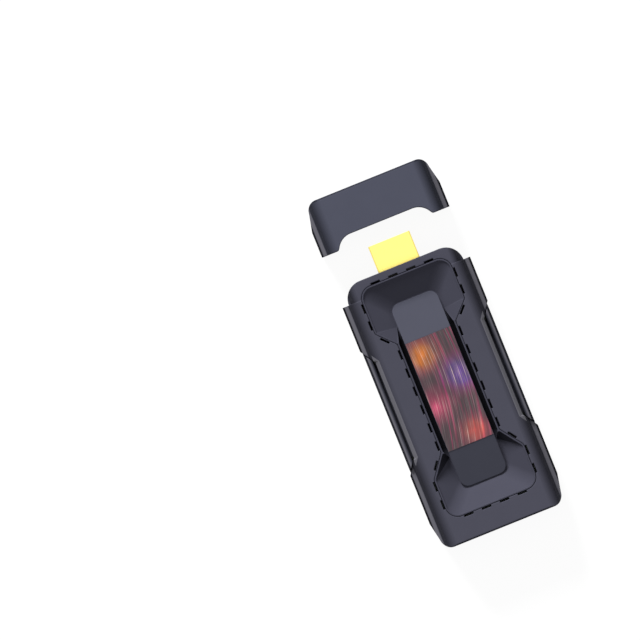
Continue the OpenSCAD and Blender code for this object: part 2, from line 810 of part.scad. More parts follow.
// Bevel along the notch, as a cut
module notch_bevel_cut() {
  hull() {
    slab(case_t - notch_bevel_drop, case_t - notch_bevel_drop + skin) notch_outline(notch_x, 0);
    slab(case_t, case_t + cut) notch_outline(notch_x - notch_bevel, notch_bevel * notch_slope);
  }
}

// Upper shell with the window for the tray, the vent dashes and the side notches
module top_cover() {
  color([0.31, 0.32, 0.37]) difference() {
    union() {
      difference() {
        union() {
          case_block(seam_z, case_t + cut);
          nose_block(seam_z, case_t);
        }
        difference() {
          case_room();
          both_notches() slab(ledge_z, case_t) notch_outline(notch_x - notch_wall_t, notch_wall_t);
          slab(rib_z, case_t) grown_outline(rim_plan, rim_plan_r, rib_w);
        }
      }
      locating_ring();
    }
    slab(rib_z - cut, case_t + cut) soft_outline(rim_plan, rim_plan_r);
    slab(flange_z - slip, rib_z) grown_outline(rim_plan, rim_plan_r, flange_w + slip);
    both_notches() slab(ring_z - cut, case_t + cut) notch_outline(notch_x, 0);
    both_notches() slab(ring_z - cut, ledge_z) notch_outline(notch_x - notch_wall_t, 0);
    both_notches() notch_bevel_cut();
    vent_dashes(-slip, flange_z, case_t + cut);
    plug_hole();
  }
}

// Ring under the upper shell that stands inside the lower shell's wall
module locating_ring() {
  difference() {
    slab(ring_z, ring_top_z) grown_outline(case_plan, case_plan_r, -wall_t - slip);
    slab(ring_z - cut, ring_top_z + cut) grown_outline(case_plan, case_plan_r, -wall_t - slip - ring_t);
    both_notches() slab(ring_z - cut, ring_top_z + cut) notch_outline(notch_x - notch_wall_t, notch_wall_t);
  }
}

// Sloped hollow between an outline at the top and the floor around the bar
module hollow(pts, radii, inset, z_top, foot, foot_r, z_foot) {
  hull() {
    slab(z_top, case_t + cut) grown_outline(pts, radii, -inset, $fn = soft_fn);
    slab(z_foot, z_foot + skin) grown_outline(foot, foot_r, 0, $fn = soft_fn);
  }
}

// Floor of the recess around the bar at its two ends
upper_foot = both_sides([
  [bar_half + tray_gap, upper_foot_y], [bar_half + tray_gap, bar_top_y + tray_gap]]);
upper_foot_r = both_radii([0, bar_r + tray_gap]);
lower_foot = both_sides([
  [bar_half + tray_gap, bar_bottom_y - tray_gap], [bar_half + tray_gap, lower_foot_y]]);
lower_foot_r = both_radii([bar_r + tray_gap, 0]);

// Trench beside the bar, running out to a point at both ends
module trench() {
  polygon(both_sides([
    [bar_half + tray_gap, lower_foot_y], [trench_half, lower_waist_y],
    [trench_half, upper_waist_y], [bar_half + tray_gap, upper_foot_y]]));
}

module tray_hollow() {
  hollow(upper_lobe, upper_lobe_r, tray_seam + lip_w, lip_inner_z, upper_foot, upper_foot_r, tray_floor_z);
  hollow(lower_lobe, lower_lobe_r, tray_seam + lip_w, lip_inner_z, lower_foot, lower_foot_r, tray_floor_z);
  slab(tray_floor_z, case_t + cut) trench();
}

module tray_skin(lobe, lobe_radii, foot, foot_radii) {
  hull() {
    slab(lip_wall_z, lip_z) grown_outline(lobe, lobe_radii, -tray_seam, $fn = soft_fn);
    slab(tray_floor_z - tray_t, tray_floor_z) grown_outline(foot, foot_radii, tray_wall, $fn = soft_fn);
  }
}

// Dished tray in the recess, carrying the bar
module recess_tray() {
  waist_wall = tray_waist_wall - tray_seam - lip_w;
  color([0.26, 0.26, 0.31]) difference() {
    union() {
      tray_skin(upper_lobe, upper_lobe_r, upper_foot, upper_foot_r);
      tray_skin(lower_lobe, lower_lobe_r, lower_foot, lower_foot_r);
      slab(tray_floor_z - tray_t, lip_z) grown_outline(waist_plan, waist_plan_r, -tray_seam);
      slab(flange_z, rib_z) grown_outline(rim_plan, rim_plan_r, flange_w);
      slab(tray_floor_z - tray_t, rib_z) grown_outline(waist_plan, waist_plan_r, waist_wall);
    }
    tray_hollow();
    vent_dashes(slip, flange_z - cut, rib_z + cut);
    for (y = peg_y) translate([0, y, 0]) cylinder(d = peg_d + peg_slip * 2, h = case_t);
  }
}

// Side view of the bar's top, lowered by d
module bar_profile(d) {
  polygon([
    [bar_bottom_y - cut, 0], [bar_top_y + cut, 0],
    [bar_top_y + cut, bar_end_z - d - bar_upper_fall * cut],
    [label_top_y + kink_margin, bar_z - d],
    [label_bottom_y - kink_margin, bar_z - d],
    [bar_bottom_y - cut, bar_end_z - d - bar_lower_fall * cut]]);
}
bar_upper_fall = (bar_z - bar_end_z) / (bar_top_y - label_top_y - kink_margin);
bar_lower_fall = (bar_z - bar_end_z) / (label_bottom_y - kink_margin - bar_bottom_y);

// Bridge-shaped bar along the middle of the recess
module centre_bar() {
  color([0.35, 0.36, 0.41]) {
    difference() {
      intersection() {
        slab(tray_floor_z, case_t) soft_outline(bar_plan, bar_plan_r);
        along_x(-case_w, case_w) bar_profile(0);
      }
      intersection() {
        slab(tray_floor_z - cut, case_t) grown_outline(bar_plan, bar_plan_r, -bar_wall);
        along_x(-case_w, case_w) bar_profile(bar_wall);
      }
    }
    for (y = peg_y) translate([0, y, peg_z]) cylinder(d = peg_d, h = peg_top_z - peg_z);
  }
}

// Printed film on the flat middle of the bar
module label_film() {
  color([0.25, 0.22, 0.26]) box([-bar_half + label_margin, bar_half - label_margin],
    [label_bottom_y, label_top_y], [bar_z, bar_z + label_t]);
}

// Side panel in the right notch, without its openings
module side_panel() {
  low = notch_y - notch_half(panel_x) + panel_seam;
  high = notch_y + notch_half(panel_x) - panel_seam;
  intersection() {
    along_y(low, high) polygon([
      [panel_in_x, panel_bottom_z], [panel_x, panel_bottom_z], [panel_x, panel_face_z],
      [panel_facet_x, panel_facet_z], [panel_in_x, panel_top_z]]);
    slab(0, case_t) notch_outline(notch_x, -panel_seam);
  }
  ledge_half = notch_inner_half - panel_seam;
  box([notch_x - notch_wall_t, panel_in_x], [notch_y - ledge_half, notch_y + ledge_half],
    [ledge_z - ledge_t, ledge_z]);
}

// Stadium outline for the round-ended port
module stadium(w, h) {
  translate([-(w - h) / 2, -h / 2]) square([w - h, h]);
  for (end = [-1, 1]) translate([end * (w - h) / 2, 0]) circle(d = h);
}

module side_panel_right() {
  color([0.29, 0.3, 0.35]) difference() {
    side_panel();
    box([notch_x - notch_wall_t - cut, half_w],
      [data_y - data_w / 2 - port_gap, data_y + data_w / 2 + port_gap],
      [data_z - port_gap, data_z + data_h + port_gap]);
    translate([notch_x, reset_y, reset_z]) rotate([0, 90, 0]) cylinder(d = reset_hole_d, h = case_t);
  }
}

module side_panel_left() {
  color([0.29, 0.3, 0.35]) difference() {
    mirror([1, 0, 0]) side_panel();
    along_x(-half_w, -notch_x + notch_wall_t + cut) translate([power_y, power_mid_z])
      stadium(power_w + port_gap * 2, power_h + port_gap * 2);
    box([-half_w, -panel_in_x + cut], [card_y - card_mouth_w / 2, card_y + card_mouth_w / 2],
      [card_mid_z - card_mouth_h / 2, card_mid_z + card_mouth_h / 2]);
  }
}

// Protective cap, drawn as it is taken off
module cap() {
  color([0.31, 0.32, 0.37]) translate([0, cap_travel, 0]) difference() {
    intersection() {
      slab(-cut, case_t + cut) soft_outline(cap_plan, cap_plan_r);
      along_y(cap_y, cap_top_y + cut) soft_outline(case_section, case_section_r);
      along_x(-case_w, case_w) soft_outline(
        [[cap_y - cut, 0], [cap_top_y, 0], [cap_top_y, case_t], [cap_y - cut, case_t]],
        [0, end_r, end_r, 0]);
    }
    intersection() {
      slab(0, case_t) soft_outline(cap_room, cap_room_r);
      along_y(cap_y - cut, cap_top_y) grown_outline(nose_section, nose_section_r, cap_fit);
    }
    slab(-cut, case_t + cut) cap_arch();
  }
}
cap_room_r = both_radii([0, nose_r + cap_fit]);
cap_room = both_sides([[nose_half + cap_fit, cap_y - cut], [nose_half + cap_fit, cap_top_y - cap_end_t]]);

// Arch cut through both cap faces, with its mouth rounded
module cap_arch() {
  soft_outline(
    both_sides([[arch_half + cut, cap_y - cut], [arch_half + cut, cap_y], [arch_half, cap_y],
      [arch_half - arch_slant, cap_y + arch_d]]),
    both_radii([0, 0, arch_tip_r, arch_r]));
}

// Outline of the plug, narrow side down
plug_section = both_sides([
  [plug_narrow_w / 2, board_top], [plug_w / 2, board_top + plug_h - plug_side_h],
  [plug_w / 2, board_top + plug_h]]);
plug_section_r = both_radii([plug_r, plug_r, plug_r]);

module video_plug_shell() {
  color([0.93, 0.8, 0.35]) difference() {
    along_y(plug_rear_y, plug_tip_y) soft_outline(plug_section, plug_section_r);
    along_y(plug_rear_y - cut, plug_tip_y + cut) grown_outline(plug_section, plug_section_r, -plug_sheet);
  }
}

module video_plug_insulator() {
  color([0.12, 0.12, 0.13]) difference() {
    along_y(plug_rear_y, plug_tip_y - liner_back) grown_outline(plug_section, plug_section_r, -plug_sheet);
    box([-mouth_w / 2, mouth_w / 2], [plug_block_y, plug_tip_y],
      [plug_z - mouth_h / 2, plug_z + mouth_h / 2]);
  }
}

// Row of contacts in the plug mouth, its first layer at z
module plug_contacts(count, z) {
  for (i = [0:count - 1]) {
    x = (i - (count - 1) / 2) * plug_contact_pitch;
    box([x - plug_contact_w / 2, x + plug_contact_w / 2], [plug_block_y, plug_tip_y - plug_contact_back],
      [z, z + contact_t]);
  }
}

module video_plug_contacts() {
  color([0.85, 0.68, 0.25]) {
    plug_contacts(plug_upper_count, plug_z + mouth_h / 2 - contact_t);
    plug_contacts(plug_lower_count, plug_z - mouth_h / 2);
  }
}

// Circuit board with a gap for the sunk data port
module main_board() {
  color([0.09, 0.2, 0.14]) difference() {
    slab(board_z, board_top) soft_outline(
      both_sides([[board_half, board_rear_y], [board_half, board_front_y]]),
      both_radii([board_r, board_r]));
    box([data_rear_x - board_notch_gap, case_w],
      [data_y - data_w / 2 - board_notch_gap, data_y + data_w / 2 + board_notch_gap], [0, case_t]);
    screw_places() cylinder(d = screw_d + board_hole_gap * 2, h = case_t);
  }
}

module processor() {
  color([0.13, 0.13, 0.14]) chip(processor_at, processor_size, board_top);
}

module memory_chips() {
  color([0.1, 0.1, 0.11]) for (at = memory_at) chip(at, memory_size, board_top);
}

module flash_chip() {
  color([0.1, 0.1, 0.11]) chip(flash_at, flash_size, board_top);
}

module power_manager() {
  color([0.12, 0.12, 0.13]) chip(manager_at, manager_size, board_top);
}

module wireless_module() {
  color([0.7, 0.71, 0.72]) {
    chip(wireless_at, wireless_base, board_top);
    chip(wireless_at, wireless_can, board_top + wireless_base.z);
  }
}

// Folded sheet antenna on two legs
module antenna() {
  color([0.78, 0.76, 0.7]) {
    translate([antenna_at.x, antenna_at.y, antenna_z]) cube([antenna_l, antenna_w, antenna_sheet]);
    for (x = [0, antenna_leg_gap])
      translate([antenna_at.x + x, antenna_at.y, board_top])
        cube([antenna_leg_w, antenna_sheet, antenna_z - board_top + antenna_sheet]);
  }
}

module clock_crystal() {
  color([0.75, 0.76, 0.78]) chip(crystal_at, crystal_size, board_top);
}

module power_inductors() {
  color([0.3, 0.3, 0.31]) for (share = inductor_shares) {
    at = on_board(share);
    chip(at, [inductor_size.x, inductor_size.y, inductor_size.z - inductor_core_t], board_top);
    translate([at.x, at.y, board_top]) cylinder(d = inductor_core_d, h = inductor_size.z);
  }
}

module board_capacitors() {
  color([0.68, 0.58, 0.44]) for (share = capacitor_shares, i = [0:capacitor_count - 1])
    chip(on_board(share) + [i * capacitor_pitch, 0], capacitor_size, board_top);
}

// Soft pad on top of a chip, up to the heat sink
module pad(at, size) {
  z = board_top + size.z;
  chip(at, [size.x - pad_inset * 2, size.y - pad_inset * 2, pad_top - z], z);
}

module thermal_pads() {
  color([0.62, 0.68, 0.78]) {
    pad(processor_at, processor_size);
    for (at = memory_at) pad(at, memory_size);
  }
}

module heat_sink() {
  fin_pitch = (sink_x[1] - sink_x[0] - fin_t) / (fin_count - 1);
  color([0.62, 0.64, 0.67]) {
    box(sink_x, sink_y, [pad_top, pad_top + sink_base_t]);
    for (i = [0:fin_count - 1])
      box([sink_x[0] + i * fin_pitch, sink_x[0] + i * fin_pitch + fin_t],
        [sink_y[0] + fin_inset, sink_y[1] - fin_inset], [pad_top, sink_top]);
  }
}

module data_port_shell() {
  color([0.75, 0.76, 0.78]) difference() {
    box([data_rear_x, data_mouth_x], [data_y - data_w / 2, data_y + data_w / 2], [data_z, data_z + data_h]);
    box([data_rear_x - cut, data_mouth_x + cut],
      [data_y - data_w / 2 + port_sheet, data_y + data_w / 2 - port_sheet],
      [data_z + port_sheet, data_z + data_h - port_sheet]);
  }
}

// Rear block and tongue of the data port
module data_port_tongue() {
  top = data_z + data_h - port_sheet - data_tongue_drop;
  color([0.1, 0.1, 0.11]) {
    box([data_rear_x, data_rear_x + data_block_l],
      [data_y - data_w / 2 + port_sheet, data_y + data_w / 2 - port_sheet],
      [data_z + port_sheet, data_z + data_h - port_sheet]);
    box([data_rear_x, data_rear_x + data_tongue_l],
      [data_y - data_tongue_w / 2, data_y + data_tongue_w / 2], [top - data_tongue_t, top]);
  }
}

module data_port_contacts() {
  top = data_z + data_h - port_sheet - data_tongue_drop - data_tongue_t;
  color([0.85, 0.68, 0.25]) for (y = data_contact_y)
    box([data_rear_x + data_block_l, data_rear_x + data_block_l + data_contact_l],
      [data_y + y - data_contact_w / 2, data_y + y + data_contact_w / 2], [top - contact_t, top]);
}

module power_port_shell() {
  color([0.75, 0.76, 0.78]) difference() {
    along_x(-power_mouth_x, -power_rear_x) translate([power_y, power_mid_z]) stadium(power_w, power_h);
    along_x(-power_mouth_x - cut, -power_rear_x + cut) translate([power_y, power_mid_z])
      stadium(power_w - port_sheet * 2, power_h - port_sheet * 2);
  }
}

module power_port_tongue() {
  color([0.1, 0.1, 0.11]) {
    along_x(-power_rear_x - power_block_l, -power_rear_x) translate([power_y, power_mid_z])
      stadium(power_w - port_sheet * 2, power_h - port_sheet * 2);
    box([-power_rear_x - power_block_l - power_tongue_l, -power_rear_x - power_block_l],
      [power_y - power_tongue_w / 2, power_y + power_tongue_w / 2],
      [power_mid_z - power_tongue_t / 2, power_mid_z + power_tongue_t / 2]);
  }
}

// Contacts on both faces of the tongue
module power_port_contacts() {
  root = -power_rear_x - power_block_l;
  color([0.85, 0.68, 0.25])
    for (i = [0:power_contact_count - 1], z = [power_mid_z - power_tongue_t / 2 - power_contact_t,
        power_mid_z + power_tongue_t / 2]) {
      y = power_y + (i - (power_contact_count - 1) / 2) * power_contact_pitch;
      box([root - power_contact_l, root], [y - power_contact_w / 2, y + power_contact_w / 2],
        [z, z + power_contact_t]);
    }
}

// Plastic base of the card slot with its two rails
module card_slot_base() {
  low = card_y - card_w / 2 + card_sheet;
  high = card_y + card_w / 2 - card_sheet;
  top = board_top + card_h - card_sheet;
  color([0.1, 0.1, 0.11]) {
    box([-card_mouth_x, -card_mouth_x + card_l], [low, high], [board_top, board_top + card_base_t]);
    box([-card_mouth_x, -card_mouth_x + card_l], [low, low + card_rail_w - card_sheet], [board_top, top]);
    box([-card_mouth_x, -card_mouth_x + card_l], [high - card_rail_w + card_sheet, high], [board_top, top]);
    box([-card_mouth_x + card_l - card_rail_w, -card_mouth_x + card_l], [low, high], [board_top, top]);
  }
}

// Sheet cover folded over the card slot
module card_slot_cover() {
  color([0.75, 0.76, 0.78]) difference() {
    box([-card_mouth_x, -card_mouth_x + card_l], [card_y - card_w / 2, card_y + card_w / 2],
      [board_top, board_top + card_h]);
    box([-card_mouth_x - cut, -card_mouth_x + card_l + cut],
      [card_y - card_w / 2 + card_sheet, card_y + card_w / 2 - card_sheet],
      [board_top - cut, board_top + card_h - card_sheet]);
  }
}

module card_slot_contacts() {
  color([0.85, 0.68, 0.25]) for (i = [0:card_contact_count - 1]) {
    y = card_y + (i - (card_contact_count - 1) / 2) * card_contact_pitch;
    box([-card_mouth_x + card_contact_in, -card_mouth_x + card_contact_in + card_contact_l],
      [y - card_contact_w / 2, y + card_contact_w / 2],
      [board_top + card_base_t, board_top + card_base_t + contact_t]);
  }
}

// Receiver with its lens facing the window in the tail
module infrared_receiver() {
  color([0.08, 0.07, 0.09]) {
    chip([window_x, receiver_y], receiver_size, board_top);
    translate([window_x, receiver_y - receiver_size.y / 2, board_top + receiver_size.z / 2])
      sphere(r = receiver_lens_r);
  }
}

module receiver_window() {
  color([0.12, 0.05, 0.08]) box(
    [window_x - window_w / 2 + window_slip, window_x + window_w / 2 - window_slip],
    [tail_y, tail_y + wall_t],
    [window_z - window_h / 2 + window_slip, window_z + window_h / 2 - window_slip]);
}

module status_light() {
  color([0.9, 0.92, 0.85]) chip([pipe_x, light_y], light_size, board_top);
}

module light_pipe() {
  length = light_y - light_size.y / 2 - slip - tail_y;
  color([0.85, 0.88, 0.9]) translate([pipe_x, tail_y, pipe_z]) rotate([-90, 0, 0])
    cylinder(d = pipe_d - window_slip * 2, h = length);
}

module reset_switch() {
  color([0.7, 0.7, 0.72]) difference() {
    box([reset_body_x, reset_body_x + reset_body_l], [reset_y - reset_body_w / 2, reset_y + reset_body_w / 2],
      [board_top, board_top + reset_body_h]);
    translate([reset_bore_x, reset_y, reset_z]) rotate([0, 90, 0])
      cylinder(d = reset_d + reset_bore_gap * 2, h = reset_body_l);
  }
}

module reset_plunger() {
  color([0.15, 0.15, 0.16]) translate([reset_root_x, reset_y, reset_z]) rotate([0, 90, 0])
    cylinder(d = reset_d, h = reset_tip_x - reset_root_x);
}

module board_screws() {
  color([0.72, 0.72, 0.74]) screw_places() {
    translate([0, 0, screw_end_z]) cylinder(d = screw_d, h = board_top - screw_end_z);
    difference() {
      translate([0, 0, board_top]) cylinder(d = screw_head_d, h = screw_head_h);
      for (turned = [0, 90]) rotate([0, 0, turned])
        translate([-screw_slot_l / 2, -screw_slot_w / 2, board_top + screw_head_h - screw_slot_d])
          cube([screw_slot_l, screw_slot_w, cut]);
    }
  }
}

bottom_case();
top_cover();
recess_tray();
centre_bar();
label_film();
side_panel_right();
side_panel_left();
cap();
video_plug_shell();
video_plug_insulator();
video_plug_contacts();
main_board();
processor();
memory_chips();
flash_chip();
power_manager();
wireless_module();
antenna();
clock_crystal();
power_inductors();
board_capacitors();
thermal_pads();
heat_sink();
data_port_shell();
data_port_tongue();
data_port_contacts();
power_port_shell();
power_port_tongue();
power_port_contacts();
card_slot_cover();
card_slot_base();
card_slot_contacts();
infrared_receiver();
receiver_window();
status_light();
light_pipe();
reset_switch();
reset_plunger();
board_screws();
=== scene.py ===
# %% [markdown]
# # A streaming media stick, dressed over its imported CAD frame
# The stick is a flat case of dark blue-grey plastic with a dished recess, a bridge-shaped bar with a
# printed film on it, a gold plated plug, and a cap that lies pulled off in front of the plug.
# The CAD model already has the right shapes and sizes, so this script keeps them. It rounds the fine
# edges in the shading, gives every piece a finish made of shader nodes, and sets up the light and the
# camera. Each finish could be a painted image instead, but a network of nodes stays sharp at any
# distance and can be changed with one number.

# %% Load the frame
import json
import math
import bpy
from mathutils import Matrix, Vector

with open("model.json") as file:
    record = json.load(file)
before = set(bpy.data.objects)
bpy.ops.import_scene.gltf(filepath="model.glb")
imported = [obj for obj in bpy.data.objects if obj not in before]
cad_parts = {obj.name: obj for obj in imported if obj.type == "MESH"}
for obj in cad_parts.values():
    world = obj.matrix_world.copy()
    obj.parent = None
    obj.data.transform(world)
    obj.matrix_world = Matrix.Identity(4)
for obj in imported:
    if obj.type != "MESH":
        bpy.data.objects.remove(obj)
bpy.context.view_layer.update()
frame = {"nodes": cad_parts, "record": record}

MM = 0.001
nodes = frame["nodes"]


# %% [markdown]
# ## A small kit for shader nodes
# Every finish below is a network of shader nodes. Node by node, each would take a page of lines, so a
# few helpers keep the cells short. The first ones add a node with its values, do a sum, and stretch a
# range of values to another range. A value is a number or the output of another node.

# %% Nodes and sums
def add(tree, kind, values=None, **settings):
    """A new node of that kind, with its settings and the values of its inputs."""
    node = tree.nodes.new(kind)
    for key, value in settings.items():
        setattr(node, key, value)
    for key, value in (values or {}).items():
        node.inputs[key].default_value = value
    return node


def calc(tree, operation, first, second=0.0, clamp=False):
    """The output of a Math node. Each value is a number or the output of another node."""
    node = add(tree, "ShaderNodeMath", operation=operation, use_clamp=clamp)
    for value, socket in ((first, node.inputs[0]), (second, node.inputs[1])):
        if isinstance(value, (int, float)):
            socket.default_value = value
        else:
            tree.links.new(value, socket)
    return node.outputs[0]


def stretched(tree, value, low, high, to_low=0.0, to_high=1.0):
    """The output of a Map Range node: low to high becomes to_low to to_high, and stays inside."""
    limits = {"From Min": low, "From Max": high, "To Min": to_low, "To Max": to_high}
    node = add(tree, "ShaderNodeMapRange", limits)
    tree.links.new(value, node.inputs["Value"])
    return node.outputs["Result"]


print("helpers for sums:", calc.__name__, stretched.__name__)


# %% [markdown]
# ## Noise, colours and bumps
# Noise breaks up what would look too even, a mix paints one colour over another by a mask, and a bump
# lifts a surface in the shading alone. The faces could be lifted too, but their shape belongs to the
# CAD model. Colours are written from 0 to 255, as on a paint chart. A shader takes linear ones, so
# one helper turns the first kind into the second.

# %% Surface helpers
def noise(tree, place, scale, detail=2.0, **settings):
    """The output of a Noise node. The place is a vector, or a number where settings ask for 1D."""
    node = add(tree, "ShaderNodeTexNoise", {"Detail": detail, "Roughness": 0.55}, **settings)
    tree.links.new(place, node.inputs["W" if settings else "Vector"])
    if isinstance(scale, float):
        node.inputs["Scale"].default_value = scale
    else:
        tree.links.new(scale, node.inputs["Scale"])
    return node.outputs["Fac"]


def mix_colours(tree, factor, first, second):
    """Mixes two colours by a mask. Each colour is a fixed one or the output of another node."""
    mix = add(tree, "ShaderNodeMix", data_type="RGBA")
    tree.links.new(factor, mix.inputs["Factor"])
    for colour, place in ((first, mix.inputs[6]), (second, mix.inputs[7])):
        if isinstance(colour, tuple):
            place.default_value = colour
        else:
            tree.links.new(colour, place)
    return mix.outputs[2]


def raised(tree, height, depth, normal=None):
    """The normal of a surface that is raised by a height from 0 to 1, over a depth in millimetres."""
    bump = add(tree, "ShaderNodeBump", {"Distance": depth * MM})
    tree.links.new(height, bump.inputs["Height"])
    if normal:
        tree.links.new(normal, bump.inputs["Normal"])
    return bump.outputs["Normal"]


def linear(red, green, blue):
    """A colour as a paint chart gives it, 0 to 255, as the linear colour that a shader takes."""
    parts = [v / 255 for v in (red, green, blue)]
    return tuple(p / 12.92 if p <= 0.04045 else ((p + 0.055) / 1.055) ** 2.4 for p in parts) + (1,)


print("mid grey 128 is", round(linear(128, 128, 128)[0], 3), "as a linear colour")


# %% [markdown]
# ## Materials and node groups
# A new material comes with a Principled shader, which stands for nearly every real surface. What many
# finishes share could be repeated in each of them, but a node group is built once and can then be set
# into any material, like a part with named sockets.

# %% Materials and groups
def new_material(name, **shader_values):
    """A material whose Principled shader has these values. Returns it with its tree and shader."""
    material = bpy.data.materials.new(name)
    material.use_nodes = True
    tree = material.node_tree
    shader = tree.nodes["Principled BSDF"]
    for key, value in shader_values.items():
        shader.inputs[key.replace("_", " ").title().replace("Ior", "IOR")].default_value = value
    return material, tree, shader


def new_group(name, inputs, outputs):
    """An empty node group with named sockets. Returns the group and its input and output nodes."""
    group = bpy.data.node_groups.new(name, "ShaderNodeTree")
    for label, kind, default in inputs:
        socket = group.interface.new_socket(label, in_out="INPUT", socket_type="NodeSocket" + kind)
        socket.default_value = default
    for label, kind in outputs:
        group.interface.new_socket(label, in_out="OUTPUT", socket_type="NodeSocket" + kind)
    return group, group.nodes.new("NodeGroupInput"), group.nodes.new("NodeGroupOutput")


print("helpers for materials:", new_material.__name__, new_group.__name__)


# %% [markdown]
# ## Moulded grain
# Plastic cases come out of a mould that was spark-eroded, so their faces carry a fine, even grain of
# about a tenth of a millimetre, and the grain scatters light a little more in some places than others.
# It could be modelled, but that takes millions of faces. Noise at two sizes does it: the fine one
# lifts the surface as bump, and the coarse one shifts the colour and the roughness by a few per cent.

# %% Grain as a node group
def build_grain():
    """The height of the fine grain, and the coarse patches in it. Both sizes are in millimetres."""
    group, given, result = new_group(
        "moulded_grain",
        [("Grain Size", "Float", 0.12), ("Patch Size", "Float", 6.0)],
        [("Height", "Float"), ("Patches", "Float")])
    place = add(group, "ShaderNodeTexCoord").outputs["Object"]
    fine = noise(group, place, calc(group, "DIVIDE", 1 / MM, given.outputs["Grain Size"]))
    patch = noise(group, place, calc(group, "DIVIDE", 1 / MM, given.outputs["Patch Size"]), 3.0)
    group.links.new(fine, result.inputs["Height"])
    group.links.new(patch, result.inputs["Patches"])
    return group


grain_group = build_grain()
print("group", grain_group.name, "with", len(grain_group.nodes), "nodes")


# %% [markdown]
# ## Soft and rubbed edges
# No edge that comes out of a mould is sharp: it turns over a few tenths of a millimetre and catches a
# thin line of light or dark. Hands and pockets then rub it a shade paler. Bevelled meshes could show
# the turn, but the CAD pieces have fine slits and seams where bevels collide. The Bevel node works
# out a rounded normal near every edge instead. That normal is one output, and how far it leans away
# from the true one is the mask for wear, broken up by noise, because no edge is rubbed evenly.

# %% Edge mask as a node group
def build_edge_mask():
    """The rounded normal near an edge, and a mask of where the edge is rubbed."""
    group, given, result = new_group(
        "edge_rub",
        [("Radius", "Float", 0.4 * MM), ("Wear", "Float", 1.0)],
        [("Mask", "Float"), ("Normal", "Vector")])
    link = group.links.new
    rounded = add(group, "ShaderNodeBevel", samples=6)
    agree = add(group, "ShaderNodeVectorMath", operation="DOT_PRODUCT")
    link(given.outputs["Radius"], rounded.inputs["Radius"])
    link(rounded.outputs["Normal"], agree.inputs[0])
    link(add(group, "ShaderNodeNewGeometry").outputs["Normal"], agree.inputs[1])
    lean = stretched(group, agree.outputs["Value"], 0.99, 0.75)
    place = add(group, "ShaderNodeTexCoord").outputs["Object"]
    broken = stretched(group, noise(group, place, 1 / (4 * MM), 3.0), 0.35, 0.7)
    worn = calc(group, "MULTIPLY", calc(group, "MULTIPLY", lean, broken), given.outputs["Wear"], True)
    link(worn, result.inputs["Mask"])
    link(rounded.outputs["Normal"], result.inputs["Normal"])
    return group


edge_group = build_edge_mask()
print("group", edge_group.name, "with", len(edge_group.nodes), "nodes")


# %% [markdown]
# ## Places on the object
# Some finishes change from place to place on one piece: the bevels along the sides get a coat of gloss
# and a paler colour as a painted highlight, while the steep sides and the walls of the narrow gaps are
# darkened as painted shade, nearly black in the gaps. Painted masks would need a UV map. It is simpler
# to ask where a point lies and which way its face looks. One question is slanted: how far the point is
# past the sloping ends of the notches in the sides.

# %% Place as a node group
NOTCH_MIDDLE = 2.4      # along the case, in mm, where the notches have their middle
NOTCH_HALF = 16.2       # half their length at the floor, in mm
NOTCH_FLOOR = 18.3      # how far across the floor lies, in mm
NOTCH_SLANT = 1.477     # how many mm an end goes along for each mm that it goes across


def build_place():
    """Where a point is, in millimetres, how far its face looks up and sideways, from 0 to 1, and how far
    it lies past the slanted ends of the notches in the sides."""
    labels = ("Across", "Along", "Height", "Up", "Side", "Notch")
    group, given, result = new_group("place_in_mm", [], [(label, "Float") for label in labels])
    spot = add(group, "ShaderNodeSeparateXYZ")
    look = add(group, "ShaderNodeSeparateXYZ")
    group.links.new(add(group, "ShaderNodeTexCoord").outputs["Object"], spot.inputs[0])
    group.links.new(add(group, "ShaderNodeNewGeometry").outputs["True Normal"], look.inputs[0])
    across = calc(group, "ABSOLUTE", calc(group, "DIVIDE", spot.outputs["X"], MM))
    along = calc(group, "DIVIDE", spot.outputs["Y"], MM)
    from_middle = calc(group, "ABSOLUTE", calc(group, "SUBTRACT", along, NOTCH_MIDDLE))
    slant = calc(group, "MULTIPLY", calc(group, "SUBTRACT", across, NOTCH_FLOOR), NOTCH_SLANT)
    past_slant = calc(group, "SUBTRACT", from_middle, slant)
    for label, value in (
            ("Across", across),
            ("Along", along),
            ("Height", calc(group, "DIVIDE", spot.outputs["Z"], MM)),
            ("Up", calc(group, "ABSOLUTE", look.outputs["Z"])),
            ("Side", calc(group, "ABSOLUTE", look.outputs["X"])),
            ("Notch", calc(group, "SUBTRACT", past_slant, NOTCH_HALF))):
        group.links.new(value, result.inputs[label])
    return group


place_group = build_place()
print("group", place_group.name, "with", len(place_group.nodes), "nodes")


# %% [markdown]
# ## Limits into a mask
# A place on the object is told by a lower and an upper limit for some of those values. Each pair of
# limits gives a mask of its own, and their product is the mask of the place. On the real case a change
# of finish is never quite sharp, so a third number can let the mask fade over some width.

# %% Mask of a place
SHARP_FADE = 0.02       # the fade of a mask that names none, in mm


def inside(tree, place, **limits):
    """1 where a point is inside all the limits, such as Across=(17, 19), and 0 elsewhere. A third number
    is the width over which the mask fades at both limits."""
    mask = None
    for name, (low, high, *fade) in limits.items():
        value, half = place.outputs[name], (fade[0] if fade else SHARP_FADE) / 2
        part = calc(tree, "MULTIPLY", stretched(tree, value, low - half, low + half),
                    stretched(tree, value, high + half, high - half))
        mask = part if mask is None else calc(tree, "MULTIPLY", mask, part)
    return mask


print("a mask fades over", SHARP_FADE, "mm if nothing else is asked for")


# %% [markdown]
# ## A grained surface
# Plastic, silicone and ceramic all look grained from close by, so one function feeds the grain to the
# shader of each. The colour shifts a little with the patches and goes paler where the edge mask says
# so, the roughness shifts with the patches as well, and the fine grain lifts the surface.

# %% Grain into a shader
def times(colour, amount):
    """A fixed colour made darker or paler."""
    return tuple(min(1, c * amount) for c in colour[:3]) + (1,)


